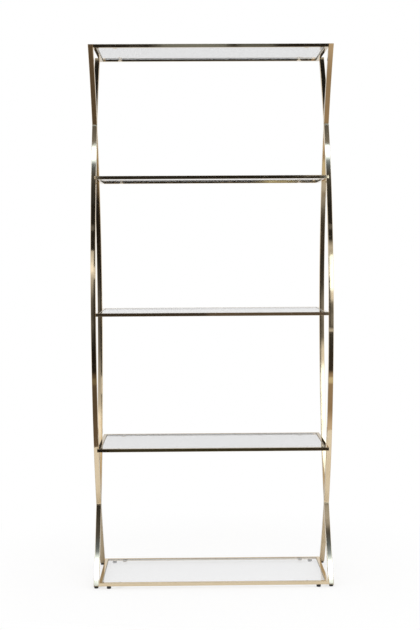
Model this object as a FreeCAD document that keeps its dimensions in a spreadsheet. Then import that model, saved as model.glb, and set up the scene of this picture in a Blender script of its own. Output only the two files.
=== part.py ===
import FreeCAD, Part
import math
import os
import Sketcher

# Brass and glass etagere: crossing arc bars on each side carry five glazed shelf frames.
# Millimetres, +Z up, the front faces -Y, the origin is on the floor under the middle.

# Driving dimensions: alias, value, what it sizes.
SIZES = [
    ("overall_width", 914.4, "across the outer faces of the bars"),
    ("overall_depth", 381.0, "front rail to rear rail, outside"),
    ("bay_pitch", 513.0, "shelf top to shelf top in the lower bays"),
    ("top_bay", 486.5, "shelf top to shelf top in the highest bay"),
    ("bar_tube", 19.05, "square tube of the bars, across its flats"),
    ("bar_wall", 1.65, "wall of the bars"),
    ("bar_corner", 1.5, "outer corner radius of the bars"),
    ("bow_setback", 6.0, "bars' outer face behind the frames' face at mid height"),
    ("top_cap_thick", 2.0, "plate that closes a bar at the top"),
    ("foot_cap_thick", 4.0, "plate that closes a bar at the foot"),
    ("weld_gap", 0.2, "fit-up gap of a coped tube end"),
    ("rail_tube", 12.7, "square tube of the shelf frames, across its flats"),
    ("rail_wall", 1.25, "wall of the shelf rails"),
    ("rail_corner", 0.8, "outer corner radius of the shelf rails"),
    ("glass_thick", 5.7, "pane thickness"),
    ("glass_gap", 1.5, "pane edge to rail, each side"),
    ("glass_drop", 0.4, "pane top below the rail top"),
    ("glass_corner", 3.0, "corner radius of a pane in plan"),
    ("glass_arris", 0.8, "bevel ground on the pane edges"),
    ("tab_inset", 81.0, "frame end to the middle of a tab"),
    ("tab_width", 16.0, "tab across, and its round end"),
    ("tab_reach", 19.0, "tab length from the rail's inner face"),
    ("tab_thick", 2.0, "tab plate"),
    ("bumper_base", 9.5, "bumper diameter on the tab"),
    ("bumper_top", 7.0, "bumper diameter under the pane"),
    ("bar_glide_height", 8.0, "floor to the end of a bar"),
    ("bar_glide_diameter", 16.0, "glide under a bar"),
    ("bar_stem_diameter", 5.0, "push-in stem of a bar glide"),
    ("frame_glide_height", 9.0, "glide under the lowest frame"),
    ("frame_glide_diameter", 16.5, "glide under the lowest frame"),
    ("frame_glide_inset", 39.0, "frame end to the middle of a frame glide"),
    ("frame_stem_diameter", 6.0, "screw stem of a frame glide"),
    ("frame_stem_length", 8.0, "screw stem above the glide's top"),
    ("glide_bevel", 1.5, "bevel round the foot of every glide"),
    ("glide_seat", 0.3, "gap between a frame glide's top and the rail"),
    ("stem_clearance", 0.05, "radial clearance of a stem in its hole"),
]

# Derived dimensions: alias, formula on the aliases above.
DERIVED = [
    ("frame_width", "=overall_width - 2 * bar_tube"),
    ("frame_half", "=frame_width / 2"),
    ("shelf_1_top", "=frame_glide_height + glide_seat + rail_tube"),
    ("shelf_2_top", "=shelf_1_top + bay_pitch"),
    ("shelf_3_top", "=shelf_2_top + bay_pitch"),
    ("shelf_4_top", "=shelf_3_top + bay_pitch"),
    ("shelf_5_top", "=shelf_4_top + top_bay"),
    ("bar_x", "=overall_width / 2 - bar_tube / 2"),
    ("bar_low", "=bar_glide_height"),
    ("bar_high", "=shelf_5_top"),
    ("bar_middle", "=(bar_low + bar_high) / 2"),
    ("half_span", "=(bar_high - bar_low) / 2"),
    # The arc meets one face of the frames at its two ends and stops short of the other at mid height.
    ("bow_depth", "=overall_depth - bow_setback"),
    ("arc_radius", "=half_span ^ 2 / (2 * (bow_depth - bar_tube)) + bow_depth / 2"),
    ("bar_reach", "=overall_depth / 2 - bow_setback - bar_tube / 2"),
    ("axis_reach", "=arc_radius - bar_reach"),
    ("foot_reach", "=axis_reach - sqrt(arc_radius ^ 2 - half_span ^ 2)"),
    ("cross_rise", "=sqrt(arc_radius ^ 2 - axis_reach ^ 2)"),
    ("tab_x", "=frame_half - tab_inset"),
    ("tab_root", "=overall_depth / 2 - rail_tube"),
    ("bumper_y", "=tab_root - tab_reach + tab_width / 2"),
    ("bumper_height", "=rail_tube - tab_thick - glass_thick - glass_drop"),
    ("frame_glide_x", "=frame_half - frame_glide_inset"),
    ("frame_glide_y", "=overall_depth / 2 - rail_tube / 2"),
]

SHELVES = (1, 2, 3, 4, 5)
# Spare angle, in degrees, at each end of an arc before the level cut.
SPARE_ANGLE = 3
# How far a cutting outline runs past the solid that it cuts.
CUT_MARGIN = 2

doc = FreeCAD.newDocument("etagere")
sheet = doc.addObject("Spreadsheet::Sheet", "Sizes")
nodes = []


def fill_sheet():
    """Write every dimension with its alias; formulas follow the plain numbers."""
    row = 1
    for alias, value, words in SIZES:
        sheet.set("A%d" % row, words)
        sheet.set("B%d" % row, str(value))
        sheet.setAlias("B%d" % row, alias)
        row += 1
    for alias, formula in DERIVED:
        sheet.set("A%d" % row, alias.replace("_", " "))
        sheet.set("B%d" % row, formula)
        sheet.setAlias("B%d" % row, alias)
        row += 1
    doc.recompute()


def size(alias):
    """Present value of one dimension."""
    return float(sheet.get(alias))


def cell(text):
    """Expression on the sheet: each {alias} becomes a reference."""
    return text.replace("{", "Sizes.").replace("}", "")


def place(obj, turn=0, x="0", y="0", z="0"):
    """Turn an object about Z, in degrees, and tie its place to the sheet."""
    obj.Placement = FreeCAD.Placement(FreeCAD.Vector(), FreeCAD.Rotation(FreeCAD.Vector(0, 0, 1), turn))
    for axis, text in (("x", x), ("y", y), ("z", z)):
        obj.setExpression("Placement.Base." + axis, cell(text))


def node(obj, label):
    """Name a finished sub-part and put it on the list to write."""
    obj.Label = label
    nodes.append(obj)
    return obj


def new_body(name):
    return doc.addObject("PartDesign::Body", name)


def new_sketch(body, name, role):
    """Sketch on one of the body's own origin planes."""
    sketch = body.newObject("Sketcher::SketchObject", name)
    plane = next(item for item in body.Origin.OriginFeatures if item.Role == role)
    sketch.AttachmentSupport = [(plane, "")]
    sketch.MapMode = "FlatFace"
    return sketch


def limit(sketch, name, text, *constraint):
    """Add a dimension whose value follows the sheet."""
    index = sketch.addConstraint(Sketcher.Constraint(*constraint))
    sketch.renameConstraint(index, name)
    sketch.setExpression("Constraints." + name, cell(text))


def polygon(sketch, points):
    """Closed run of straight edges; returns the index of the first."""
    first = sketch.GeometryCount
    count = len(points)
    for i in range(count):
        start = FreeCAD.Vector(*points[i], 0)
        end = FreeCAD.Vector(*points[(i + 1) % count], 0)
        sketch.addGeometry(Part.LineSegment(start, end), False)
    for i in range(count):
        sketch.addConstraint(Sketcher.Constraint("Coincident", first + i, 2, first + (i + 1) % count, 1))
    return first


def level_edges(sketch, first, flags):
    """Hold each edge horizontal (H) or vertical (V), in the order of the flags; a dot leaves one free."""
    words = {"H": "Horizontal", "V": "Vertical"}
    for i, flag in enumerate(flags):
        if flag in words:
            sketch.addConstraint(Sketcher.Constraint(words[flag], first + i))


def centred_rectangle(sketch, name, width, height, width_text, height_text):
    """Rectangle about the sketch's origin, sized by two expressions."""
    x = width / 2
    y = height / 2
    first = polygon(sketch, [(-x, -y), (x, -y), (x, y), (-x, y)])
    level_edges(sketch, first, "HVHV")
    sketch.addConstraint(Sketcher.Constraint("Symmetric", first, 1, first + 2, 1, -1, 1))
    limit(sketch, name + "_width", width_text, "Distance", first, width)
    limit(sketch, name + "_height", height_text, "Distance", first + 1, height)


def square_ring(sketch, side, wall, side_text, wall_text):
    """Section of a square tube about the sketch's origin."""
    bore = side - 2 * wall
    bore_text = "%s - 2 * %s" % (side_text, wall_text)
    centred_rectangle(sketch, "outside", side, side, side_text, side_text)
    centred_rectangle(sketch, "bore", bore, bore, bore_text, bore_text)


def chosen_edges(feature, test):
    """Names of a feature's edges that pass a test."""
    return ["Edge%d" % (i + 1) for i, edge in enumerate(feature.Shape.Edges) if test(edge)]


def round_edges(body, base, test, radius_text):
    """Fillet the chosen edges of a feature."""
    doc.recompute()
    fillet = body.newObject("PartDesign::Fillet", "Rounding")
    fillet.Base = (base, chosen_edges(base, test))
    fillet.setExpression("Radius", cell(radius_text))
    doc.recompute()
    return fillet


def arc_bar(name, wall=True, growth_text=None):
    """Bar swept round a level axis: its middle is foremost, its ends lean back.

    With a wall it is a tube, without one it is the tube's outer form.
    A growth makes the sharp-edged form that other tubes are coped to.
    """
    body = new_body(name)
    sketch = new_sketch(body, "Section", "XY_Plane")
    side = size("bar_tube")
    if growth_text:
        grown = "{bar_tube} + 2 * " + growth_text
        centred_rectangle(sketch, "outside", side, side, grown, grown)
    elif wall:
        square_ring(sketch, side, size("bar_wall"), "{bar_tube}", "{bar_wall}")
    else:
        centred_rectangle(sketch, "outside", side, side, "{bar_tube}", "{bar_tube}")
    radius = size("arc_radius")
    start = FreeCAD.Vector(-side / 2, radius, 0)
    end = FreeCAD.Vector(side / 2, radius, 0)
    axis = sketch.addGeometry(Part.LineSegment(start, end), True)
    sketch.addConstraint(Sketcher.Constraint("Symmetric", axis, 1, axis, 2, -2))
    limit(sketch, "axis_length", "{bar_tube}", "Distance", axis, side)
    limit(sketch, "axis_height", "{arc_radius}", "DistanceY", -1, 1, axis, 1, radius)
    sweep = body.newObject("PartDesign::Revolution", "Bend")
    sweep.Profile = sketch
    sweep.ReferenceAxis = (sketch, ["Axis0"])
    sweep.Midplane = True
    half_angle = "asin({half_span} / ({arc_radius} - {bar_tube} / 2))"
    sweep.setExpression("Angle", cell("2 * (%s + %d deg)" % (half_angle, SPARE_ANGLE)))
    if growth_text is None:
        flank = size("bar_tube") / 2 - size("bar_wall") / 2

        def outer_long_edge(edge):
            middle = edge.valueAt((edge.FirstParameter + edge.LastParameter) / 2)
            return edge.Length > size("half_span") and abs(middle.x) > flank and abs(middle.y) > flank

        round_edges(body, sweep, outer_long_edge, "{bar_corner}")
    return body


def slab(name, low_text, high_text):
    """Block over the left half between two levels."""
    box = doc.addObject("Part::Box", name)
    box.setExpression("Length", cell("{overall_width}"))
    box.setExpression("Width", cell("2 * {overall_depth}"))
    box.setExpression("Height", cell("%s - (%s)" % (high_text, low_text)))
    place(box, x="-{overall_width}", y="-{overall_depth}", z=low_text)
    return box


def boolean(kind, name, base, tool):
    """Part::Common or Part::Cut of two objects."""
    result = doc.addObject("Part::" + kind, name)
    result.Base = base
    result.Tool = tool
    return result


def mirrored(source, name, normal):
    """Mirror image in the plane through the origin with this normal."""
    copy = doc.addObject("Part::Mirroring", name)
    copy.Source = source
    copy.Base = (0, 0, 0)
    copy.Normal = normal
    return copy


ACROSS = (1, 0, 0)
FRONT_TO_BACK = (0, 1, 0)


def group(name, items):
    """Several solids as one object."""
    result = doc.addObject("Part::Compound", name)
    result.Links = items
    return result


def front_form(body):
    """Place a bar with its ends at the front and its middle at the back."""
    place(body, 180, x="-{bar_x}", y="{bar_reach}", z="{bar_middle}")
    return body


def rear_form(body):
    """Place a bar with its ends at the back and its middle at the front."""
    place(body, x="-{bar_x}", y="-{bar_reach}", z="{bar_middle}")
    return body


def make_bars():
    """Left bars, cut level at the caps and coped at the crossings, and their mirror images."""
    tube_low = "({bar_low} + {foot_cap_thick})"
    tube_high = "({bar_high} - {top_cap_thick})"
    cross_low = "({bar_middle} - {cross_rise})"
    cross_high = "({bar_middle} + {cross_rise})"
    front_tube = front_form(arc_bar("front_tube"))
    rear_tube = rear_form(arc_bar("rear_tube"))
    cope = front_form(arc_bar("cope_form", growth_text="{weld_gap}"))
    front = boolean("Common", "front_bar", front_tube, slab("tube_slab", tube_low, tube_high))
    lengths = [("front_bar", front)]
    spans = [
        ("rear_bar_top", cross_high, tube_high),
        ("rear_bar_middle", cross_low, cross_high),
        ("rear_bar_bottom", tube_low, cross_low),
    ]
    for name, low_text, high_text in spans:
        length = boolean("Common", name + "_length", rear_tube, slab(name + "_slab", low_text, high_text))
        lengths.append((name, boolean("Cut", name, length, cope)))
    for name, left in lengths:
        node(left, "left_" + name)
        node(mirrored(left, "right_" + name, ACROSS), "right_" + name)


def make_caps():
    """Plates that carry the bars' outer form to their level ends."""
    forms = [
        front_form(arc_bar("front_form", wall=False)),
        rear_form(arc_bar("rear_form", wall=False)),
    ]
    top = slab("top_cap_slab", "({bar_high} - {top_cap_thick})", "{bar_high}")
    foot = slab("foot_cap_slab", "{bar_low}", "({bar_low} + {foot_cap_thick})")
    stem = doc.addObject("Part::Cylinder", "stem_hole")
    stem.setExpression("Radius", cell("{bar_stem_diameter} / 2 + {stem_clearance}"))
    stem.setExpression("Height", cell("{foot_cap_thick} + 2 * %d" % CUT_MARGIN))
    place(stem, x="-{bar_x}", y="-{foot_reach}", z="{bar_low} - %d" % CUT_MARGIN)
    stems = [stem, mirrored(stem, "rear_stem_hole", FRONT_TO_BACK)]
    top_caps = []
    foot_caps = []
    for i, form in enumerate(forms):
        top_caps.append(boolean("Common", "top_cap_%d" % i, form, top))
        plate = boolean("Common", "foot_plate_%d" % i, form, foot)
        foot_caps.append(boolean("Cut", "foot_cap_%d" % i, plate, stems[i]))
    for label, caps in (("bar_top_caps", top_caps), ("bar_foot_caps", foot_caps)):
        images = [mirrored(cap, "right_" + cap.Name, ACROSS) for cap in caps]
        node(group(label, caps + images), label)


def mitre_outline(sketch, length, length_text):
    """Two corner triangles that cut a rail's ends to 45 degrees, longest on the outer face."""
    side = size("rail_tube")
    leg = side + 2 * CUT_MARGIN
    leg_text = "{rail_tube} + %d" % (2 * CUT_MARGIN)
    corner_y = side / 2 + CUT_MARGIN
    for name, sign in (("right", 1), ("left", -1)):
        corner_x = sign * (length / 2 + CUT_MARGIN)
        corner = (corner_x, corner_y)
        along = (corner_x - sign * leg, corner_y)
        down = (corner_x, corner_y - leg)
        first = polygon(sketch, [corner, along, down])
        level_edges(sketch, first, "H.V")
        ends = (-1, 1, first, 1) if sign > 0 else (first, 1, -1, 1)
        limit(sketch, name + "_x", "%s / 2 + %d" % (length_text, CUT_MARGIN), "DistanceX", *ends, abs(corner_x))
        limit(sketch, name + "_y", "{rail_tube} / 2 + %d" % CUT_MARGIN, "DistanceY", -1, 1, first, 1, corner_y)
        limit(sketch, name + "_along", leg_text, "Distance", first, leg)
        limit(sketch, name + "_down", leg_text, "Distance", first + 2, leg)


def rail(name, length_text, length, drilled=False):
    """Mitred square tube along X with its outer face towards -Y."""
    body = new_body(name)
    sketch = new_sketch(body, "Section", "YZ_Plane")
    side = size("rail_tube")
    square_ring(sketch, side, size("rail_wall"), "{rail_tube}", "{rail_wall}")
    tube = body.newObject("PartDesign::Pad", "Tube")
    tube.Profile = sketch
    tube.SideType = "Symmetric"
    tube.setExpression("Length", cell(length_text))
    flank = side / 2 - size("rail_wall") / 2

    def outer_long_edge(edge):
        middle = edge.CenterOfMass
        return edge.Length > length / 2 and abs(middle.y) > flank and abs(middle.z) > flank

    round_edges(body, tube, outer_long_edge, "{rail_corner}")
    mitre = new_sketch(body, "Mitre", "XY_Plane")
    mitre_outline(mitre, length, length_text)
    cut = body.newObject("PartDesign::Pocket", "MitreCut")
    cut.Profile = mitre
    cut.Type = "ThroughAll"
    cut.SideType = "Symmetric"
    if drilled:
        drill_for_glides(body)
    return body


def drill_for_glides(body):
    """Two stem holes through the lower wall of a rail."""
    doc.recompute()
    sketch = new_sketch(body, "StemHoles", "XY_Plane")
    radius = size("frame_stem_diameter") / 2 + size("stem_clearance")
    for name, sign in (("right", 1), ("left", -1)):
        x = sign * size("frame_glide_x")
        circle = sketch.addGeometry(Part.Circle(FreeCAD.Vector(x, 0, 0), FreeCAD.Vector(0, 0, 1), radius), False)
        ends = (-1, 1, circle, 3) if sign > 0 else (circle, 3, -1, 1)
        sketch.addConstraint(Sketcher.Constraint("PointOnObject", circle, 3, -1))
        limit(sketch, name + "_x", "{frame_glide_x}", "DistanceX", *ends, abs(x))
        limit(sketch, name + "_radius", "{frame_stem_diameter} / 2 + {stem_clearance}", "Radius", circle, radius)
    holes = body.newObject("PartDesign::Pocket", "StemHolesCut")
    holes.Profile = sketch
    holes.setExpression("Length", cell("{rail_tube}"))


def make_frames():
    """Four mitred rails round each shelf."""
    reach_x = "({frame_half} - {rail_tube} / 2)"
    reach_y = "({overall_depth} / 2 - {rail_tube} / 2)"
    sides = [
        ("front_rail", "{frame_width}", "frame_width", 0, "0", "-" + reach_y),
        ("rear_rail", "{frame_width}", "frame_width", 180, "0", reach_y),
        ("left_rail", "{overall_depth}", "overall_depth", -90, "-" + reach_x, "0"),
        ("right_rail", "{overall_depth}", "overall_depth", 90, reach_x, "0"),
    ]
    for shelf in SHELVES:
        for name, length_text, length_alias, turn, x, y in sides:
            label = "shelf_%d_%s" % (shelf, name)
            drilled = shelf == SHELVES[0] and length_alias == "frame_width"
            body = rail(label, length_text, size(length_alias), drilled)
            place(body, turn, x, y, "{shelf_%d_top} - {rail_tube} / 2" % shelf)
            node(body, label)


def make_panes():
    """Glass with ground edges, lying loose inside each frame."""
    width = size("frame_width") - 2 * (size("rail_tube") + size("glass_gap"))
    depth = size("overall_depth") - 2 * (size("rail_tube") + size("glass_gap"))
    width_text = "{frame_width} - 2 * ({rail_tube} + {glass_gap})"
    depth_text = "{overall_depth} - 2 * ({rail_tube} + {glass_gap})"

    def upright(edge):
        ends = [vertex.Point for vertex in edge.Vertexes]
        return abs(ends[0].z - ends[-1].z) > size("glass_thick") / 2

    def level(edge):
        return not upright(edge)

    for shelf in SHELVES:
        label = "shelf_%d_glass" % shelf
        body = new_body(label)
        sketch = new_sketch(body, "Outline", "XY_Plane")
        centred_rectangle(sketch, "pane", width, depth, width_text, depth_text)
        pane = body.newObject("PartDesign::Pad", "Pane")
        pane.Profile = sketch
        pane.setExpression("Length", cell("{glass_thick}"))
        corners = round_edges(body, pane, upright, "{glass_corner}")
        arris = body.newObject("PartDesign::Chamfer", "Arris")
        arris.Base = (corners, chosen_edges(corners, level))
        arris.setExpression("Size", cell("{glass_arris}"))
        place(body, z="{shelf_%d_top} - {glass_drop} - {glass_thick}" % shelf)
        node(body, label)


def tongue_tab():
    """Tab at the front left, its root on the rail's inner face and its end round."""
    body = new_body("tab")
    sketch = new_sketch(body, "Outline", "XY_Plane")
    half = size("tab_width") / 2
    straight = size("tab_reach") - half
    root = sketch.addGeometry(Part.LineSegment(FreeCAD.Vector(-half, 0, 0), FreeCAD.Vector(half, 0, 0)), False)
    right = sketch.addGeometry(
        Part.LineSegment(FreeCAD.Vector(half, 0, 0), FreeCAD.Vector(half, straight, 0)), False)
    end_circle = Part.Circle(FreeCAD.Vector(0, straight, 0), FreeCAD.Vector(0, 0, 1), half)
    end = sketch.addGeometry(Part.ArcOfCircle(end_circle, 0, math.pi), False)
    left = sketch.addGeometry(
        Part.LineSegment(FreeCAD.Vector(-half, straight, 0), FreeCAD.Vector(-half, 0, 0)), False)
    for constraint in (
        ("Coincident", root, 2, right, 1),
        ("Tangent", right, 2, end, 1),
        ("Tangent", end, 2, left, 1),
        ("Coincident", left, 2, root, 1),
        ("PointOnObject", root, 1, -1),
        ("Symmetric", root, 1, root, 2, -2),
        ("Vertical", right),
        ("Vertical", left),
    ):
        sketch.addConstraint(Sketcher.Constraint(*constraint))
    limit(sketch, "across", "{tab_width}", "Distance", root, 2 * half)
    limit(sketch, "straight", "{tab_reach} - {tab_width} / 2", "Distance", right, straight)
    plate = body.newObject("PartDesign::Pad", "Plate")
    plate.Profile = sketch
    plate.setExpression("Length", cell("{tab_thick}"))
    place(body, x="-{tab_x}", y="-{tab_root}")
    return body


def turned(name, profile):
    """Body turned about Z from (radius, height) points given as value and expression pairs.

    The first and last points lie on the axis, and each edge but the bevel is level or upright.
    """
    body = new_body(name)
    sketch = new_sketch(body, "Profile", "XZ_Plane")
    first = polygon(sketch, [(radius, height) for radius, height, _, _ in profile])
    for i, (radius, height, radius_text, height_text) in enumerate(profile):
        corner = first + i
        if radius == 0:
            sketch.addConstraint(Sketcher.Constraint("PointOnObject", corner, 1, -2))
        else:
            limit(sketch, "radius_%d" % i, radius_text, "DistanceX", -1, 1, corner, 1, radius)
        if height == 0:
            sketch.addConstraint(Sketcher.Constraint("PointOnObject", corner, 1, -1))
        else:
            limit(sketch, "height_%d" % i, height_text, "DistanceY", -1, 1, corner, 1, height)
    turn = body.newObject("PartDesign::Revolution", "Turning")
    turn.Profile = sketch
    turn.ReferenceAxis = (sketch, ["V_Axis"])
    return body


def bumper():
    """Clear tapered bumper on the front left tab, as high as the pane's underside."""
    base = size("bumper_base") / 2
    top = size("bumper_top") / 2
    height = size("bumper_height")
    body = turned("bumper", [
        (0, 0, None, None),
        (base, 0, "{bumper_base} / 2", None),
        (top, height, "{bumper_top} / 2", "{bumper_height}"),
        (0, height, None, "{bumper_height}"),
    ])
    place(body, x="-{tab_x}", y="-{bumper_y}", z="{tab_thick}")
    return body


def four_corners(source):
    """A front left piece and its three mirror images."""
    right = mirrored(source, source.Name + "_right", ACROSS)
    left_rear = mirrored(source, source.Name + "_left_rear", FRONT_TO_BACK)
    right_rear = mirrored(right, source.Name + "_right_rear", FRONT_TO_BACK)
    return [source, right, left_rear, right_rear]


def make_supports():
    """Tabs level with the underside of each frame, and the bumpers on them."""
    for name, piece in (("tabs", tongue_tab()), ("bumpers", bumper())):
        four = four_corners(piece)
        for shelf in SHELVES:
            label = "shelf_%d_%s" % (shelf, name)
            compound = group(label, four)
            place(compound, z="{shelf_%d_top} - {rail_tube}" % shelf)
            node(compound, label)


def glide(name, kind, stem_length_alias):
    """Round foot with a bevel at the floor and a stem on top."""
    radius = size(kind + "_glide_diameter") / 2
    stem = size(kind + "_stem_diameter") / 2
    bevel = size("glide_bevel")
    top = size(kind + "_glide_height")
    tip = top + size(stem_length_alias)
    radius_text = "{%s_glide_diameter} / 2" % kind
    stem_text = "{%s_stem_diameter} / 2" % kind
    top_text = "{%s_glide_height}" % kind
    tip_text = "%s + {%s}" % (top_text, stem_length_alias)
    return turned(name, [
        (0, 0, None, None),
        (radius - bevel, 0, radius_text + " - {glide_bevel}", None),
        (radius, bevel, radius_text, "{glide_bevel}"),
        (radius, top, radius_text, top_text),
        (stem, top, stem_text, top_text),
        (stem, tip, stem_text, tip_text),
        (0, tip, None, tip_text),
    ])


def make_glides():
    """One pushed-in glide under each bar and four screw-in glides under the lowest frame."""
    kinds = [
        ("bar", "foot_cap_thick", "{bar_x}", "{foot_reach}"),
        ("frame", "frame_stem_length", "{frame_glide_x}", "{frame_glide_y}"),
    ]
    corners = [
        ("front_left", "-", "-"),
        ("front_right", "", "-"),
        ("rear_left", "-", ""),
        ("rear_right", "", ""),
    ]
    for kind, stem_length_alias, x, y in kinds:
        for corner, sign_x, sign_y in corners:
            label = "%s_%s_glide" % (corner, kind)
            body = glide(label, kind, stem_length_alias)
            place(body, x=sign_x + x, y=sign_y + y)
            node(body, label)


def write_parts():
    """Refuse a failed object or a bad solid, then write one file for each sub-part."""
    doc.recompute()
    for obj in doc.Objects:
        if "Invalid" in obj.State or "Error" in obj.State:
            raise RuntimeError("failed object: " + obj.Label)
    for obj in nodes:
        if obj.Shape.isNull() or not obj.Shape.isValid() or not obj.Shape.Solids:
            raise RuntimeError("bad solid: " + obj.Label)
    os.makedirs("parts", exist_ok=True)
    for obj in nodes:
        obj.Shape.exportStep("parts/%s.step" % obj.Label)


fill_sheet()
make_bars()
make_caps()
make_frames()
make_panes()
make_supports()
make_glides()
write_parts()
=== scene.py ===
import math

import bmesh
import bpy
from mathutils import Euler, Matrix, Vector


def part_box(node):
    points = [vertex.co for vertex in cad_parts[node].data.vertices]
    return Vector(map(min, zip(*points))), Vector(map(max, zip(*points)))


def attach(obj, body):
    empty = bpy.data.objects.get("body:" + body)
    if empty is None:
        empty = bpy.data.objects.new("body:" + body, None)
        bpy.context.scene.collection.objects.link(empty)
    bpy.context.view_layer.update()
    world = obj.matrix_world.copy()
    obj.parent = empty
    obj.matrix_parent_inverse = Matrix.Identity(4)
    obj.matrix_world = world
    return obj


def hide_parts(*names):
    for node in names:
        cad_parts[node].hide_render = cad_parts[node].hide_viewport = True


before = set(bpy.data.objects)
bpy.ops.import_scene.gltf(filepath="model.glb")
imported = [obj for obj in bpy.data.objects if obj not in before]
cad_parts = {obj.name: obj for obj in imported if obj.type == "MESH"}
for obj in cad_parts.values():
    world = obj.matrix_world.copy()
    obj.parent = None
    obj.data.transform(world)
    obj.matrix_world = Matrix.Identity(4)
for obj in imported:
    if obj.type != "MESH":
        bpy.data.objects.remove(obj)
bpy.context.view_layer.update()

# Brass and glass etagere: crossing arc tubes on each side, five mitred frames and five loose panes.
# Metres, +Z up, the front faces -Y.

SHELVES = (1, 2, 3, 4, 5)
SIDES = (("left", -1), ("right", 1))
CORNERS = (("front_left", -1, -1), ("front_right", 1, -1), ("rear_left", -1, 1), ("rear_right", 1, 1))

# Roundings of the tubes and of the plates on their ends.
BAR_CORNER = 0.0015
RAIL_CORNER = 0.0008
PLATE_EDGE = 0.0004

# Panes: corners seen from above and the bevel round both faces.
PANE_CORNER = 0.003
PANE_ARRIS = 0.0008

# Tabs and their bumpers. Edges within TAB_ROOT of the rail stay sharp. The shares are of the tab's width,
# the bumper's base and the bumper's height.
TAB_WIDTH = 0.016
TAB_REACH = 0.019
TAB_EDGE = 0.0002
TAB_END_SHARE = 0.499
TAB_ROOT = 0.0001
BUMPER_TOP_SHARE = 0.74
BUMPER_ROLL_SHARE = 0.16

# Glides: floor edge, shoulder, widths of the two kinds of stem and the gap under the lowest frame.
GLIDE_FLOOR_EDGE = 0.0015
GLIDE_SHOULDER = 0.0005
BAR_STEM = 0.005
FRAME_STEM = 0.006
FRAME_SEAT = 0.0003

# Braze in the angles of a crossing: its leg along each face, its run into the tubes and its ends' setback.
SEAM_LEG = 0.0045
SEAM_ROOT = 0.0003
SEAM_SETBACK = 0.0008

# Steps of a sweep on each side of mid height, and how far it runs past the ends before they are sawn.
ARC_STEPS = 56
SPARE_ANGLE = math.radians(2)

# Sides of the round shapes, the angle up to which a skin is smooth, and what counts as level or as one point.
BUMPER_SIDES = 32
GLIDE_SIDES = 48
ROLLER_SIDES = 160
SMOOTH_ANGLE = math.radians(35)
LEVEL = 1e-5
ONE_POINT = 1e-6

# Camera of the photograph, worked out from the edges of bars and frames. The focal length is in pixels.
CAMERA_PLACE = (-0.0759, -4.9643, 1.3163)
CAMERA_YAW = math.radians(0.800)
CAMERA_PITCH = math.radians(3.318)
CAMERA_ROLL = math.radians(-0.327)
FOCAL_LENGTH = 1273.5
PICTURE_HEIGHT = 630
SENSOR = 36.0

# The arcs are worked out from the boxes of the bars and of their end plates.
bar_low, bar_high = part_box("left_front_bar")
foot_low, foot_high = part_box("bar_foot_caps")
top_low, top_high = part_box("bar_top_caps")
TUBE = bar_high.x - bar_low.x
BAR_X = -(bar_low.x + bar_high.x) / 2
MIDDLE = (foot_low.z + top_high.z) / 2
HALF_SPAN = (top_high.z - foot_low.z) / 2
REACH = bar_high.y - TUBE / 2
travel = REACH - foot_low.y
RADIUS = (travel ** 2 + HALF_SPAN ** 2 - TUBE ** 2 / 4) / (2 * travel - TUBE)
AXIS = RADIUS - REACH
CROSS_RISE = math.sqrt(RADIUS ** 2 - AXIS ** 2)
ARC_ANGLE = math.asin(HALF_SPAN / (RADIUS - TUBE / 2)) + SPARE_ANGLE


class Wire:
    """An output socket of a finish; arithmetic on it adds Math nodes to the same tree."""

    def __init__(self, tree, socket=None):
        self.tree = tree
        self.socket = socket

    def node(self, kind, settings=None, sockets=None, output=0):
        """Add a node: its settings first, then a value or a link for each socket."""
        made = self.tree.nodes.new(kind)
        for name, value in (settings or {}).items():
            if name == "stops":
                for i, (place, colour) in enumerate(value):
                    stop = made.color_ramp.elements[i] if i < 2 else made.color_ramp.elements.new(place)
                    stop.position = place
                    stop.color = (*colour, 1)
            else:
                setattr(made, name, value)
        for name, value in (sockets or {}).items():
            if isinstance(value, Wire):
                self.tree.links.new(value.socket, made.inputs[name])
            else:
                made.inputs[name].default_value = value
        return Wire(self.tree, made.outputs[output])

    def calculate(self, operation, first, second):
        return self.node("ShaderNodeMath", {"operation": operation}, {0: first, 1: second})

    def __add__(self, other):
        return self.calculate("ADD", self, other)

    __radd__ = __add__

    def __sub__(self, other):
        return self.calculate("SUBTRACT", self, other)

    def __rsub__(self, other):
        return self.calculate("SUBTRACT", other, self)

    def __mul__(self, other):
        return self.calculate("MULTIPLY", self, other)

    __rmul__ = __mul__

    def __abs__(self):
        return self.calculate("ABSOLUTE", self, 0)

    def larger(self, other):
        return self.calculate("MAXIMUM", self, other)

    def step(self, low, high):
        """0 below low, 1 above high, eased between them."""
        return self.node("ShaderNodeMapRange", {"interpolation_type": "SMOOTHSTEP"},
                         {0: self, 1: low, 2: high, 3: 0, 4: 1})

    def mix(self, first, second):
        """Colour from first at 0 to second at 1."""
        pair = [value if isinstance(value, Wire) else (*value, 1) for value in (first, second)]
        return self.node("ShaderNodeMix", {"data_type": "RGBA"}, {0: self, 6: pair[0], 7: pair[1]}, output=2)

    def noise(self, scale, detail=2.0, stretch=(1, 1, 1)):
        """Soft noise on this place; stretch packs it closer along an axis."""
        spot = self.node("ShaderNodeVectorMath", {"operation": "MULTIPLY"}, {0: self, 1: stretch})
        return self.node("ShaderNodeTexNoise", None, {"Vector": spot, "Scale": scale, "Detail": detail})

    def axis(self, name):
        return self.node("ShaderNodeSeparateXYZ", None, {0: self}, output=name)

    def feed(self, node, name):
        self.tree.links.new(self.socket, node.inputs[name])


def new_finish(name):
    """Empty principled material: its shader and the object's own coordinates."""
    material = bpy.data.materials.new(name)
    material.use_nodes = True
    tree = material.node_tree
    place = Wire(tree).node("ShaderNodeTexCoord", output="Object")
    return material, tree.nodes["Principled BSDF"], place


CLEAN_BRASS = (0.84, 0.69, 0.475)
TARNISHED_BRASS = (0.76, 0.60, 0.38)
GLASS_IOR = 1.52
VINYL_IOR = 1.5


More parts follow.
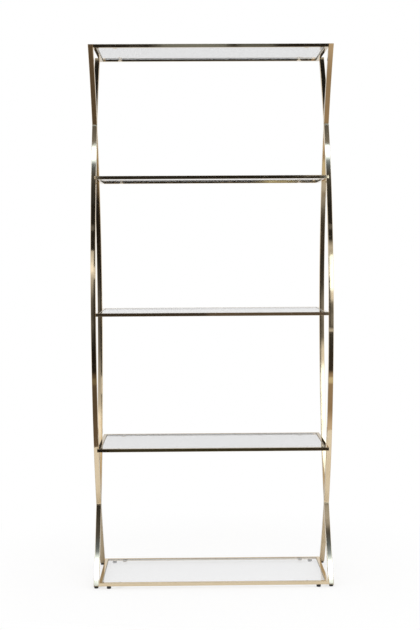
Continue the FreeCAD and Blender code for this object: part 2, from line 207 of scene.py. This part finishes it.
def polished_brass(name, grain):
    """Bright brass plate with old polish: grain packs the polishing marks across the tube's length."""
    material, shader, place = new_finish(name)
    # Tarnish lies in clouds and is rubbed off along the corners.
    cloud = place.noise(8, 3)
    blush = place.noise(41, 2)
    tarnish = cloud.step(0.42, 0.72) * 0.55 + blush.step(0.55, 0.8) * 0.25
    bent = place.node("ShaderNodeBevel", {"samples": 4}, {"Radius": 0.002})
    true = place.node("ShaderNodeNewGeometry", output="Normal")
    facing = place.node("ShaderNodeVectorMath", {"operation": "DOT_PRODUCT"}, {0: bent, 1: true}, output=1)
    rubbed = (1 - facing).step(0.01, 0.12)
    kept = tarnish * (1 - rubbed * 0.8)
    kept.mix(CLEAN_BRASS, TARNISHED_BRASS).feed(shader, "Base Color")
    shader.inputs["Metallic"].default_value = 1.0
    # Hairlines, smears and pits in the polish.
    hairs = place.noise(1, 3, grain)
    smear = place.noise(19, 4)
    pits = place.noise(420, 1).step(0.74, 0.82)
    rough = 0.045 + smear.step(0.5, 0.8) * 0.06 + hairs.step(0.55, 0.75) * 0.03 + pits * 0.08 + kept * 0.03
    rough.feed(shader, "Roughness")
    ripple = place.noise(13, 1)
    height = ripple * 0.00006 + hairs * 0.0000015 - pits * 0.000003
    bump = place.node("ShaderNodeBump", None, {"Strength": 1.0, "Distance": 1.0, "Height": height})
    bump.feed(shader, "Normal")
    return material


def clear_glass(name, half_x, half_y):
    """Float glass with finger marks on its faces and a ground, faintly green edge."""
    material, shader, place = new_finish(name)
    past_x = abs(place.axis("X")) - (half_x - PANE_ARRIS * 1.1)
    past_y = abs(place.axis("Y")) - (half_y - PANE_ARRIS * 1.1)
    ground = past_x.larger(past_y).step(-0.0001, 0.0001)
    streak = place.noise(6, 3, (1, 5, 1))
    clear = streak.mix((0.975, 0.975, 0.98), (0.96, 0.963, 0.97))
    ground.mix(clear, (0.60, 0.70, 0.66)).feed(shader, "Base Color")
    marks = place.noise(14, 4).step(0.55, 0.75) * place.noise(210, 2).step(0.45, 0.6)
    rough = marks * 0.03 + streak.step(0.5, 0.8) * 0.008 + ground * 0.26
    rough.feed(shader, "Roughness")
    grit = place.noise(1500, 1) * ground * 0.00002
    bump = place.node("ShaderNodeBump", None, {"Strength": 1.0, "Distance": 1.0, "Height": grit})
    bump.feed(shader, "Normal")
    shader.inputs["Transmission Weight"].default_value = 1.0
    shader.inputs["IOR"].default_value = GLASS_IOR
    return material


def clear_vinyl(name):
    """Soft clear bumper, a little yellowed and dusty."""
    material, shader, place = new_finish(name)
    age = place.noise(160, 2)
    age.mix((0.90, 0.91, 0.90), (0.84, 0.82, 0.73)).feed(shader, "Base Color")
    dust = place.noise(900, 2)
    rough = 0.22 + dust.step(0.5, 0.75) * 0.25
    rough.feed(shader, "Roughness")
    shader.inputs["Transmission Weight"].default_value = 0.8
    shader.inputs["IOR"].default_value = VINYL_IOR
    return material


def black_nylon(name):
    """Moulded black glide, scuffed pale where it meets the floor."""
    material, shader, place = new_finish(name)
    grain = place.noise(2600, 2)
    scuffs = place.noise(520, 3, (1, 1, 0.4))
    foot = 1 - place.axis("Z").step(0.0006, 0.0034)
    worn = foot * scuffs.step(0.48, 0.66)
    moulded = grain.mix((0.010, 0.010, 0.011), (0.022, 0.021, 0.021))
    worn.mix(moulded, (0.085, 0.082, 0.078)).feed(shader, "Base Color")
    rough = 0.38 + scuffs * 0.14 + worn * 0.2
    rough.feed(shader, "Roughness")
    bump = place.node("ShaderNodeBump", None, {"Strength": 1.0, "Distance": 1.0, "Height": grain * 0.00003})
    bump.feed(shader, "Normal")
    return material


def start(add, **sizes):
    """Add a primitive alone in the selection, put its place into its mesh and open it for editing."""
    bpy.ops.object.select_all(action="DESELECT")
    add(**sizes)
    bpy.ops.object.transform_apply(location=True, rotation=True, scale=True)
    bpy.ops.object.mode_set(mode="EDIT")
    return bpy.context.active_object


def pick(kind, test):
    """Select the faces or edges of the piece being edited that pass a test."""
    bpy.ops.mesh.select_mode(type=kind)
    bpy.ops.mesh.select_all(action="DESELECT")
    shape = bmesh.from_edit_mesh(bpy.context.edit_object.data)
    shape.normal_update()
    for item in (shape.faces if kind == "FACE" else shape.edges):
        if test(item):
            item.select_set(True)
    bmesh.update_edit_mesh(bpy.context.edit_object.data)


def saw(point, away):
    """Cut the piece at a plane, drop what lies on the away side and close the end."""
    bpy.ops.mesh.select_all(action="SELECT")
    bpy.ops.mesh.bisect(plane_co=point, plane_no=away, use_fill=True, clear_outer=True)


def round_off(test, radius, segments):
    """Round the edges that pass a test."""
    pick("EDGE", test)
    bpy.ops.mesh.bevel(affect="EDGES", offset=radius, segments=segments, profile=0.5, clamp_overlap=True)


def along(axis, least):
    """Test for edges that run at least so far along one axis."""
    return lambda edge: abs(edge.verts[0].co[axis] - edge.verts[1].co[axis]) > least


def level_at(*heights):
    """Test for edges that lie level at one of these heights."""
    return lambda edge: any(all(abs(v.co.z - h) < LEVEL for v in edge.verts) for h in heights)


def close_up():
    """Leave edit mode with the skin merged, facing outwards and smooth between its hard edges."""
    bpy.ops.mesh.select_all(action="SELECT")
    bpy.ops.mesh.remove_doubles(threshold=ONE_POINT)
    bpy.ops.mesh.normals_make_consistent(inside=False)
    bpy.ops.object.mode_set(mode="OBJECT")
    bpy.ops.object.shade_smooth_by_angle(angle=SMOOTH_ANGLE)
    piece = bpy.context.active_object
    flats = piece.modifiers.new("flats", "WEIGHTED_NORMAL")
    flats.weight = 100
    flats.keep_sharp = True
    bpy.ops.object.modifier_apply(modifier=flats.name)


def copy_of(source, name, move=(0, 0, 0), turn=0.0):
    """The same shape again with its own mesh, turned about Z and then moved."""
    bpy.ops.object.select_all(action="DESELECT")
    bpy.context.view_layer.objects.active = source
    source.select_set(True)
    bpy.ops.object.duplicate(linked=False)
    piece = bpy.context.active_object
    piece.name = name
    piece.rotation_euler.z = turn
    piece.location = move
    bpy.ops.object.transform_apply(location=True, rotation=True, scale=True)
    return piece


def joined(pieces, name):
    """Several shapes as one piece."""
    bpy.ops.object.select_all(action="DESELECT")
    for piece in pieces:
        piece.select_set(True)
    bpy.context.view_layer.objects.active = pieces[0]
    bpy.ops.object.join()
    pieces[0].name = name
    return pieces[0]


def drop(*pieces):
    """Remove patterns that only served to be copied."""
    for piece in pieces:
        bpy.data.objects.remove(piece)


def fit(piece, material, slot, body, *nodes):
    """Give a finished piece its finish, its body and the CAD nodes that it stands for."""
    piece.data.materials.clear()
    piece.data.materials.append(material)
    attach(piece, body)
    if nodes:
        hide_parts(*nodes)


def arc_tube(name, x, bulge):
    """Square tube with round corners swept about a level axis; bulge is 1 to the rear and -1 to the front."""
    tube = start(bpy.ops.mesh.primitive_plane_add, size=TUBE, location=(x, bulge * REACH, MIDDLE))
    bpy.ops.mesh.select_all(action="SELECT")
    bpy.ops.mesh.bevel(affect="VERTICES", offset=BAR_CORNER, segments=4, profile=0.5)
    centre = (x, -bulge * AXIS, MIDDLE)
    for turn in (1, -1):
        pick("FACE", lambda face: all(abs(v.co.z - MIDDLE) < ONE_POINT for v in face.verts))
        bpy.ops.mesh.spin(steps=ARC_STEPS, angle=turn * ARC_ANGLE, center=centre, axis=(1, 0, 0))
    close_up()
    tube.name = name
    return tube


def length_of(arc, name, cuts):
    """Copy an arc and saw it off at each plane, given as a point and the side that falls away."""
    piece = copy_of(arc, name)
    bpy.ops.object.mode_set(mode="EDIT")
    for point, away in cuts:
        saw(point, away)
    close_up()
    return piece


def cope(sign, face):
    """Plane of the through bar's rear (1) or front (-1) face at the upper (1) or lower (-1) crossing."""
    crossing = Vector((0, 0, MIDDLE + sign * CROSS_RISE))
    outward = (crossing - Vector((0, -AXIS, MIDDLE))).normalized()
    return crossing + outward * face * TUBE / 2, outward


def end_plate(arc, name, low, high, rim):
    """Short slice of an arc between two levels with its rim eased."""
    piece = length_of(arc, name, [((0, 0, high), (0, 0, 1)), ((0, 0, low), (0, 0, -1))])
    bpy.ops.object.mode_set(mode="EDIT")
    round_off(level_at(rim), PLATE_EDGE, 2)
    close_up()
    return piece


def make_bars(finish):
    """Through bars, the three lengths behind and between them, and the plates on all their ends."""
    top_cut = ((0, 0, top_low.z), (0, 0, 1))
    foot_cut = ((0, 0, foot_high.z), (0, 0, -1))
    top_plates = []
    foot_plates = []
    for side, sign in SIDES:
        through = arc_tube("through_arc", sign * BAR_X, 1)
        crossed = arc_tube("crossed_arc", sign * BAR_X, -1)
        upper_rear, upper_out = cope(1, 1)
        upper_front = cope(1, -1)[0]
        lower_rear, lower_out = cope(-1, 1)
        lower_front = cope(-1, -1)[0]
        lengths = [
            ("front", through, [top_cut, foot_cut], "front_bar"),
            ("rear_top", crossed, [top_cut, (upper_rear, -upper_out)], "rear_bar_top"),
            ("rear_middle", crossed, [(upper_front, upper_out), (lower_front, lower_out)], "rear_bar_middle"),
            ("rear_foot", crossed, [foot_cut, (lower_rear, -lower_out)], "rear_bar_bottom"),
        ]
        for word, arc, cuts, node in lengths:
            piece = length_of(arc, "%s_%s_arc" % (side, word), cuts)
            fit(piece, finish, "brass", "frame", "%s_%s" % (side, node))
        for arc in (through, crossed):
            top_plates.append(end_plate(arc, "top_plate", top_low.z, top_high.z, top_high.z))
            foot_plates.append(end_plate(arc, "foot_plate", foot_low.z, foot_high.z, foot_low.z))
        drop(through, crossed)
    fit(joined(top_plates, "arc_top_plates"), finish, "brass", "frame", "bar_top_caps")
    fit(joined(foot_plates, "arc_foot_plates"), finish, "brass", "frame", "bar_foot_caps")


def seam(x, crossing, first, second):
    """Braze with a hollow face in the angle between two tube faces, given by their outward normals."""
    root = crossing + (first + second) * (TUBE / 2 / (1 + first.dot(second)))
    middle = (first + second).normalized()
    opening = math.acos(-first.dot(second)) / 2
    hollow = SEAM_LEG * math.tan(opening)
    lead = Vector((x, 0, 0))
    width = TUBE - 2 * SEAM_SETBACK
    block = 4 * SEAM_LEG
    bead = start(bpy.ops.mesh.primitive_cube_add, size=1, location=root + lead, scale=(width, block, block))
    for normal in (first, second):
        saw(root + lead - normal * SEAM_ROOT, -normal)
    saw(root + lead + middle * SEAM_LEG * math.cos(opening), middle)
    bpy.ops.object.mode_set(mode="OBJECT")
    centre = root + lead + middle * (hollow / math.sin(opening))
    roller = start(bpy.ops.mesh.primitive_cylinder_add, vertices=ROLLER_SIDES, radius=hollow,
                   depth=2 * TUBE, location=centre, rotation=(0, math.pi / 2, 0))
    bpy.ops.object.mode_set(mode="OBJECT")
    bpy.ops.object.select_all(action="DESELECT")
    bpy.context.view_layer.objects.active = bead
    bead.select_set(True)
    scoop = bead.modifiers.new("scoop", "BOOLEAN")
    scoop.object = roller
    bpy.ops.object.modifier_apply(modifier=scoop.name)
    drop(roller)
    bpy.ops.object.mode_set(mode="EDIT")
    close_up()
    return bead


def make_seams(finish):
    """Braze in the four angles of each crossing."""
    for level, sign in (("upper", 1), ("lower", -1)):
        through = cope(sign, 1)[1]
        crossed = Vector((0, -through.y, through.z))
        crossing = Vector((0, 0, MIDDLE + sign * CROSS_RISE))
        for side, way in SIDES:
            beads = []
            for face in (1, -1):
                for other in (1, -1):
                    beads.append(seam(way * BAR_X, crossing, face * through, other * crossed))
            fit(joined(beads, "%s_%s_braze" % (side, level)), finish, "brass", "frame")


def mitred_tube(name, length, side):
    """Square tube along X about the origin, its ends mitred, longest on the -Y face."""
    tube = start(bpy.ops.mesh.primitive_cube_add, size=1, scale=(length, side, side))
    for sign in (1, -1):
        saw((sign * length / 2, -side / 2, 0), (sign, 1, 0))
    round_off(along(0, length / 2), RAIL_CORNER, 4)
    close_up()
    tube.name = name
    return tube


def make_frames(long_finish, side_finish):
    """Four mitred tubes round each shelf."""
    low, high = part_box("shelf_1_front_rail")
    side = high.z - low.z
    long_tube = mitred_tube("long_tube", high.x - low.x, side)
    low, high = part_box("shelf_1_left_rail")
    short_tube = mitred_tube("short_tube", high.y - low.y, side)
    runs = [
        ("front", long_tube, 0, long_finish),
        ("rear", long_tube, math.pi, long_finish),
        ("left", short_tube, -math.pi / 2, side_finish),
        ("right", short_tube, math.pi / 2, side_finish),
    ]
    for shelf in SHELVES:
        for word, pattern, turn, finish in runs:
            node = "shelf_%d_%s_rail" % (shelf, word)
            low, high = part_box(node)
            piece = copy_of(pattern, "shelf_%d_%s_tube" % (shelf, word), (low + high) / 2, turn)
            fit(piece, finish, "brass", "frame", node)
    drop(long_tube, short_tube)


def make_panes():
    """Loose panes with rounded corners and a ground bevel round both faces."""
    low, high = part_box("shelf_1_glass")
    size = high - low
    half = size.z / 2
    pane = start(bpy.ops.mesh.primitive_cube_add, size=1, scale=size)
    round_off(along(2, half), PANE_CORNER, 5)
    round_off(level_at(half, -half), PANE_ARRIS, 1)
    close_up()
    finish = clear_glass("clear_glass", size.x / 2, size.y / 2)
    for shelf in SHELVES:
        node = "shelf_%d_glass" % shelf
        low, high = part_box(node)
        piece = copy_of(pane, "shelf_%d_clear_pane" % shelf, (low + high) / 2)
        piece.visible_shadow = False
        piece.visible_diffuse = False
        fit(piece, finish, "glass", "shelf_%d_pane" % shelf, node)
    drop(pane)


def round_ended_tab(thick):
    """Tab that runs from its root at the origin along +Y, with a round end and eased edges."""
    tab = start(bpy.ops.mesh.primitive_cube_add, size=1, location=(0, TAB_REACH / 2, thick / 2),
                scale=(TAB_WIDTH, TAB_REACH, thick))

    def at_the_end(edge):
        return along(2, thick / 2)(edge) and edge.verts[0].co.y > TAB_REACH / 2

    def off_the_root(edge):
        return level_at(0, thick)(edge) and max(v.co.y for v in edge.verts) > TAB_ROOT

    round_off(at_the_end, TAB_WIDTH * TAB_END_SHARE, 10)
    round_off(off_the_root, TAB_EDGE, 2)
    close_up()
    return tab


def soft_bumper(base, height):
    """Clear button that narrows to the pane and has a rounded top edge."""
    button = start(bpy.ops.mesh.primitive_cylinder_add, vertices=BUMPER_SIDES, radius=base / 2, depth=height,
                   location=(0, 0, height / 2))
    pick("FACE", lambda face: face.normal.z > 0.9)
    bpy.ops.transform.resize(value=(BUMPER_TOP_SHARE, BUMPER_TOP_SHARE, 1))
    round_off(level_at(height), height * BUMPER_ROLL_SHARE, 3)
    close_up()
    return button


def make_supports(finish, vinyl):
    """Four tabs under each pane, level with the underside of the frame, and a bumper on each."""
    low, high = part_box("shelf_1_tabs")
    tab = round_ended_tab(high.z - low.z)
    base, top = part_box("shelf_1_bumpers")
    bumper_x = -low.x - TAB_WIDTH / 2
    bumper_y = -low.y - TAB_REACH + TAB_WIDTH / 2
    button = soft_bumper(2 * (-base.x - bumper_x), top.z - base.z)
    for shelf in SHELVES:
        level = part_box("shelf_%d_tabs" % shelf)[0].z
        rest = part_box("shelf_%d_bumpers" % shelf)[0].z
        tabs = []
        buttons = []
        for word, sign_x, sign_y in CORNERS:
            turn = 0 if sign_y < 0 else math.pi
            tabs.append(copy_of(tab, word, (sign_x * bumper_x, -sign_y * low.y, level), turn))
            buttons.append(copy_of(button, word, (sign_x * bumper_x, sign_y * bumper_y, rest)))
        fit(joined(tabs, "shelf_%d_round_tabs" % shelf), finish, "brass", "frame", "shelf_%d_tabs" % shelf)
        fit(joined(buttons, "shelf_%d_vinyl_bumpers" % shelf), vinyl, "bumper", "frame",
            "shelf_%d_bumpers" % shelf)
    drop(tab, button)


def moulded_glide(name, width, height, stem_width, tip):
    """Round black foot with a rolled floor edge, a shallow shoulder and a stem on top."""
    glide = start(bpy.ops.mesh.primitive_cylinder_add, vertices=GLIDE_SIDES, radius=width / 2, depth=height,
                  location=(0, 0, height / 2))
    round_off(level_at(0), GLIDE_FLOOR_EDGE, 4)
    pick("FACE", lambda face: face.normal.z > 0.9)
    bpy.ops.mesh.inset(thickness=(width - stem_width) / 2)
    bpy.ops.mesh.extrude_region_move(TRANSFORM_OT_translate={"value": (0, 0, tip - height)})

    def on_the_rim(edge):
        return level_at(height)(edge) and edge.verts[0].co.xy.length > width * 0.4

    round_off(on_the_rim, GLIDE_SHOULDER, 2)
    close_up()
    glide.name = name
    return glide


def make_glides(nylon):
    """A glide pushed into each bar and four screw-in glides under the lowest frame."""
    rail_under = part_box("shelf_1_front_rail")[0].z
    kinds = [
        ("bar", foot_low.z, BAR_STEM),
        ("frame", rail_under - FRAME_SEAT, FRAME_STEM),
    ]
    for kind, height, stem in kinds:
        low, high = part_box("front_left_%s_glide" % kind)
        pattern = moulded_glide("glide", high.x - low.x, height, stem, high.z)
        for word, _, _ in CORNERS:
            node = "%s_%s_glide" % (word, kind)
            low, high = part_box(node)
            middle = (low + high) / 2
            piece = copy_of(pattern, "%s_%s_foot_glide" % (word, kind), (middle.x, middle.y, 0))
            fit(piece, nylon, "glide", "frame" if kind == "bar" else word + "_foot", node)
        drop(pattern)


# Tints of the light in the studio.
WARM = (1.0, 0.83, 0.70)
COOL = (0.84, 0.97, 1.06)
SKY = (0.78, 1.0, 1.3)
STRAW = (1.0, 0.97, 0.62)

# Places along Y of what stands or lies in front of the object.
STAND = -0.9
NEAR_SCREEN = -1.5
STRIP = -2.04
HOODS = -3.0
LOW_WALLS = -3.2
SIDE_WALLS = -4.0
DOOR_WALL = -5.0
FAR_WALL = -6.9

# Heights of the ceiling, its bright panels and its pale part over the object.
CEILING = 6.05
PANELS = 6.04
OVERHEAD = 6.02

# Inner edges of the lamp boxes along X, and turns about Z.
LEFT_LAMP = -0.657
RIGHT_LAMP = 0.737
LEFT_LAMP_TURN = math.radians(-4.36)
RIGHT_LAMP_TURN = math.radians(6.0)
PAPER_TURN = math.radians(-10.8)


def stage_sheet(name, low, high, turn=0.0):
    """Flat sheet of the studio between two corners, turned about Z; it isn't part of the object."""
    bpy.ops.object.select_all(action="DESELECT")
    bpy.ops.mesh.primitive_plane_add(size=1)
    sheet = bpy.context.active_object
    sheet.name = name
    low = Vector(low)
    high = Vector(high)
    size = high - low
    sheet.scale = (size.x, math.hypot(size.y, size.z), 1)
    sheet.rotation_euler = (math.atan2(size.z, size.y), 0, turn)
    sheet.location = (low + high) / 2
    bpy.ops.object.transform_apply(location=True, rotation=True, scale=True)
    return sheet


def paper_floor():
    """Pale paper that keeps the shadow near the object and runs out to the white background.

    Seen in the polish it carries painted shade, most of all on the left, and painted light on the right.
    """
    sheet = stage_sheet("paper_floor", (-1.0, -0.72, 0), (1.0, 2.6, 0), PAPER_TURN)
    material, shader, place = new_finish("paper")
    mirrored = place.node("ShaderNodeLightPath", output="Glossy Depth").step(0, 1)
    seen = place.node("ShaderNodeLightPath", output="Is Camera Ray").larger(
        place.node("ShaderNodeLightPath", output="Is Transmission Ray") * (1 - mirrored))
    fibre = place.noise(900, 2)
    # Painted shade and painted light for the polish: ramps along Y, darker on the left, lighter on the right.
    shade = ramp(place.axis("Y"), [(-0.25, 0.80), (0.0, 0.50), (0.3, 0.57)])
    painted_light_right = ramp(place.axis("Y"), [(-0.25, 0.80), (0.0, 0.64), (0.3, 0.78)])
    painted_shade_and_light = place.axis("X").step(0.1, 0.5).mix(shade, painted_light_right)
    seen.mix(painted_shade_and_light, fibre.mix((0.945, 0.945, 0.945), (0.955, 0.955, 0.955))).feed(shader, "Base Color")
    shader.inputs["Roughness"].default_value = 0.9
    shader.inputs["Specular IOR Level"].default_value = 0.0
    reach = place.node("ShaderNodeVectorMath", {"operation": "LENGTH"}, {0: place}, output=1)
    tree = material.node_tree
    white = place.node("ShaderNodeEmission", None, {"Color": (1, 1, 1, 1), "Strength": 1.0})
    fade = (0.65 + reach.step(0.62, 1.3) * 0.35) * seen
    done = place.node("ShaderNodeMixShader", None, {0: fade, 1: Wire(tree, shader.outputs[0]), 2: white})
    done.feed(tree.nodes["Material Output"], "Surface")
    sheet.data.materials.append(material)


def reflected(name, low, high, paint, turn=0.0):
    """A studio surface between two corners that only shows in the polish; paint gives its light."""
    sheet = stage_sheet(name, low, high, turn)
    material = bpy.data.materials.new(name)
    material.use_nodes = True
    tree = material.node_tree
    tree.nodes.clear()
    place = Wire(tree).node("ShaderNodeTexCoord", output="Object")
    light = place.node("ShaderNodeEmission", None, {"Color": paint(place), "Strength": 1.0})
    light.feed(tree.nodes.new("ShaderNodeOutputMaterial"), "Surface")
    sheet.data.materials.append(material)
    sheet.visible_camera = False
    sheet.visible_diffuse = False
    sheet.visible_transmission = False
    sheet.visible_shadow = False


def grey(value, tint=(1, 1, 1)):
    return tuple(value * part for part in tint)


def ramp(value, stops):
    """Light along a length: each stop is a place on it, a brightness and a tint."""
    low = stops[0][0]
    span = stops[-1][0] - low
    shares = [((place - low) / span, grey(*light)) for place, *light in stops]
    return value.node("ShaderNodeValToRGB", {"stops": shares}, {0: (value - low) * (1 / span)})


def graded(axis, *stops):
    """Paint that follows a ramp along one axis."""
    return lambda place: ramp(place.axis(axis), stops)


def uneven(low, high, tint=(1, 1, 1), scale=3):
    """Paint that wanders between two brightnesses."""
    return lambda place: place.noise(scale).mix(grey(low, tint), grey(high, tint))


def boards_paint(place):
    """Floor boards in front of the paper, in painted light and shade: brown on the left and lit on the right.

    A paler strip runs across them, they are dark beyond it, and pale and dark runs lie out to each side.
    """
    # Painted light and shade: each brightness below is glow standing in for how lit that part of the boards
    # is.
    side = place.axis("X").step(-0.6, 0.6)
    reach = place.axis("Y")
    by_paper = side.mix((0.125, 0.095, 0.068), (0.64, 0.55, 0.46))
    lit = side.mix((0.105, 0.08, 0.057), (0.33, 0.255, 0.18))
    far = side.mix(grey(0.015, WARM), grey(0.036, WARM))
    strip = 1 - abs(reach - STRIP).step(0.08, 0.16)
    near = reach.step(-1.25, -0.85).mix(lit, by_paper)
    paved = strip.mix(near, side.mix((0.19, 0.16, 0.105), (0.62, 0.56, 0.40)))
    ahead = reach.step(-2.5, -2.25).mix(far, paved)
    out = abs(place.axis("X"))
    painted_side_runs = ramp(out, [(1.6, 0.70), (2.1, 0.90), (2.2, 0.25), (2.8, 0.20), (2.9, 0.85), (5.0, 0.60)])
    return out.step(1.5, 1.7).mix(ahead, painted_side_runs)


def studio_set():
    """What the polish shows, placed so that it falls on bars and rails as in the photograph.

    There are boards and a rug, a wall and a lamp box with a hood on each side, small screens near the right
    bars, a ceiling with two bright panels, and walls further off. The lamp boxes and ceiling panels stand for
    lamps; every other sheet glows with painted light and shade.
    """
    reflected("boards", (-5, -7, -0.003), (5, 4, -0.003), boards_paint)
    reflected("left_wall", (-2.0, SIDE_WALLS, 0.0), (-0.733, SIDE_WALLS, 1.14), graded(
        "Z", (0.0, 0.012), (0.40, 0.055), (0.65, 0.115), (0.93, 0.085), (1.14, 0.13)))
    reflected("right_wall", (0.843, SIDE_WALLS, 0.0), (2.1, SIDE_WALLS, 1.14), graded(
        "Z", (0.0, 0.03), (0.42, 0.055), (0.65, 0.22), (0.85, 0.22), (0.95, 0.15), (1.14, 0.22)))
    reflected("left_lamp_box", (-1.857, -3.957, 1.136), (LEFT_LAMP, -2.091, 1.90), graded(
        "Z", (1.136, 0.12), (1.25, 0.14), (1.47, 0.37), (1.63, 0.60), (1.69, 1.15), (1.75, 1.1), (1.80, 0.85),
        (1.90, 0.55)), LEFT_LAMP_TURN)
    reflected("right_lamp_box", (0.736, -3.942, 1.136), (1.936, -2.011, 1.925), graded(
        "Z", (1.136, 0.22), (1.24, 0.85), (1.36, 0.90), (1.45, 2.3, COOL), (1.85, 2.2, COOL),
        (1.88, 1.6, COOL), (1.905, 1.0), (1.925, 0.75)), RIGHT_LAMP_TURN)
    reflected("right_flap", (0.47, NEAR_SCREEN, 1.635), (0.80, NEAR_SCREEN, 1.81), graded(
        "Z", (1.635, 0.46), (1.68, 0.48), (1.725, 0.58), (1.775, 0.34), (1.81, 0.09)))
    reflected("right_stand", (0.49, STAND, 0.874), (0.60, STAND, 0.915), graded(
        "Z", (0.874, 0.52), (0.890, 0.55), (0.898, 0.34), (0.906, 0.14), (0.915, 0.05)))
    reflected("rug", (-0.60, -4.4, -0.002), (0.68, -2.6, -0.002), uneven(0.034, 0.050, STRAW))
    for side, low, high in (("left", -1.8, LEFT_LAMP), ("right", RIGHT_LAMP, 1.9)):
        reflected(side + "_lamp_hood", (low, HOODS, 2.60), (high, HOODS, 2.72), uneven(0.10, 0.16))
    reflected("ceiling", (-6, -7.5, CEILING), (6, 1.5, CEILING), graded(
        "Y", (-7.5, 0.03), (-6.2, 0.04), (-5.15, 0.08), (-4.72, 0.15, SKY), (-4.42, 0.35, SKY), (-3.57, 0.22),
        (-2.9, 0.14), (-1.5, 0.015), (1.5, 0.008)))
    for side, low, high, edge in (("left", -6, 0.1, -4.50), ("right", 0.1, 6, -4.38)):
        reflected(side + "_ceiling_panel", (low, edge, PANELS), (high, -3.57, PANELS), graded(
            "Y", (edge, 0.42, SKY), (edge + 0.17, 1.4, SKY), (edge + 0.30, 3.0, SKY), (-3.72, 3.0, SKY),
            (-3.57, 0.9, SKY)))
    reflected("ceiling_over", (-6, -0.33, OVERHEAD), (6, 1.5, OVERHEAD), graded(
        "Y", (-0.33, 0.35), (-0.1, 0.60), (0.3, 0.78), (1.5, 0.60)))
    reflected("pale_screen", (0.245, NEAR_SCREEN, 1.46), (0.56, NEAR_SCREEN, 1.50), graded(
        "X", (0.245, 0.03), (0.29, 0.18, STRAW), (0.35, 0.65, STRAW), (0.45, 0.42, STRAW), (0.50, 0.20),
        (0.56, 0.06)))
    reflected("far_wall", (-6, FAR_WALL, 2.22), (6, FAR_WALL, 2.70), uneven(0.55, 0.80))
    reflected("far_wall_top", (-0.8, FAR_WALL, 3.50), (0.85, FAR_WALL, 3.90), uneven(0.55, 0.80))
    reflected("wall_above_door", (-0.32, DOOR_WALL, 2.55), (0.2, DOOR_WALL, 2.95), uneven(0.18, 0.27, COOL))
    reflected("wall_beside_door", (0.27, DOOR_WALL, 2.55), (0.55, DOOR_WALL, 2.95), uneven(0.11, 0.16, COOL))
    reflected("low_wall_left", (LEFT_LAMP, LOW_WALLS, 0.7), (0.02, LOW_WALLS, 1.02),
              uneven(0.03, 0.06, WARM, 4))
    reflected("low_wall_right", (0.02, LOW_WALLS, 0.7), (RIGHT_LAMP, LOW_WALLS, 1.02),
              uneven(0.08, 0.14, WARM, 4))


SOFT_LAMP_PLACE = (0.3, -2.4, 3.6)
SOFT_LAMP_SIZE = (2.0, 1.2)
SOFT_LAMP_POWER = 20


def light_the_studio():
    """White background; diffuse light from all round; the polish sees a dark room in front of the object."""
    scene = bpy.context.scene
    scene.view_settings.view_transform = "Standard"
    world = bpy.data.worlds.new("studio")
    scene.world = world
    world.use_nodes = True
    tree = world.node_tree
    sky = tree.nodes["Background"]
    way = Wire(tree).node("ShaderNodeTexCoord", output="Generated")
    glossy = way.node("ShaderNodeLightPath", output="Is Glossy Ray")
    mirrored = way.node("ShaderNodeLightPath", output="Glossy Depth").step(0, 1) * glossy
    diffuse = way.node("ShaderNodeLightPath", output="Is Diffuse Ray")
    # By direction: a pale wall behind the object, and in front a dark middle with paler sides.
    wall = ramp(abs(way.axis("Z")), [(0.03, 0.90), (0.09, 0.80), (0.15, 0.68), (0.27, 0.82)])
    darkest = way.axis("Z").step(-0.02, 0.04).mix(grey(0.20, (1, 0.96, 0.92)), grey(0.78))
    beside = way.noise(3, 2, (1, 1, 3)).step(0.40, 0.60).mix(darkest, grey(0.95))
    front = abs(way.axis("X")).step(0.16, 0.30).mix(grey(0.02, (1, 0.93, 0.85)), beside)
    room = way.axis("Y").step(-0.2, 0.5).mix(front, wall)
    mirrored.mix((1, 1, 1), room).feed(sky, "Color")
    (1 - diffuse * 0.05).feed(sky, "Strength")
    lamp = bpy.data.lights.new("soft_lamp", "AREA")
    lamp.shape = "RECTANGLE"
    lamp.size, lamp.size_y = SOFT_LAMP_SIZE
    lamp.energy = SOFT_LAMP_POWER
    holder = bpy.data.objects.new("soft_lamp", lamp)
    scene.collection.objects.link(holder)
    holder.location = SOFT_LAMP_PLACE
    holder.rotation_euler = (Vector((0, 0, 0)) - holder.location).to_track_quat("-Z", "Y").to_euler()
    holder.visible_camera = False
    holder.visible_glossy = False
    holder.visible_transmission = False


def set_camera():
    """Camera where the photograph was taken."""
    data = bpy.data.cameras.new("camera")
    data.sensor_width = SENSOR
    data.lens = FOCAL_LENGTH / PICTURE_HEIGHT * SENSOR
    camera = bpy.data.objects.new("camera", data)
    bpy.context.scene.collection.objects.link(camera)
    aim = Euler((math.pi / 2 - CAMERA_PITCH, 0, -CAMERA_YAW)).to_matrix()
    turn = aim @ Matrix.Rotation(CAMERA_ROLL, 3, "Z")
    camera.matrix_world = Matrix.Translation(CAMERA_PLACE) @ turn.to_4x4()
    bpy.context.scene.camera = camera


brass_upright = polished_brass("brass_upright", (900, 900, 16))
brass_long = polished_brass("brass_long", (16, 900, 900))
brass_side = polished_brass("brass_side", (900, 16, 900))
make_bars(brass_upright)
make_seams(brass_upright)
make_frames(brass_long, brass_side)
make_panes()
make_supports(brass_side, clear_vinyl("clear_vinyl"))
make_glides(black_nylon("black_nylon"))
paper_floor()
studio_set()
light_the_studio()
set_camera()
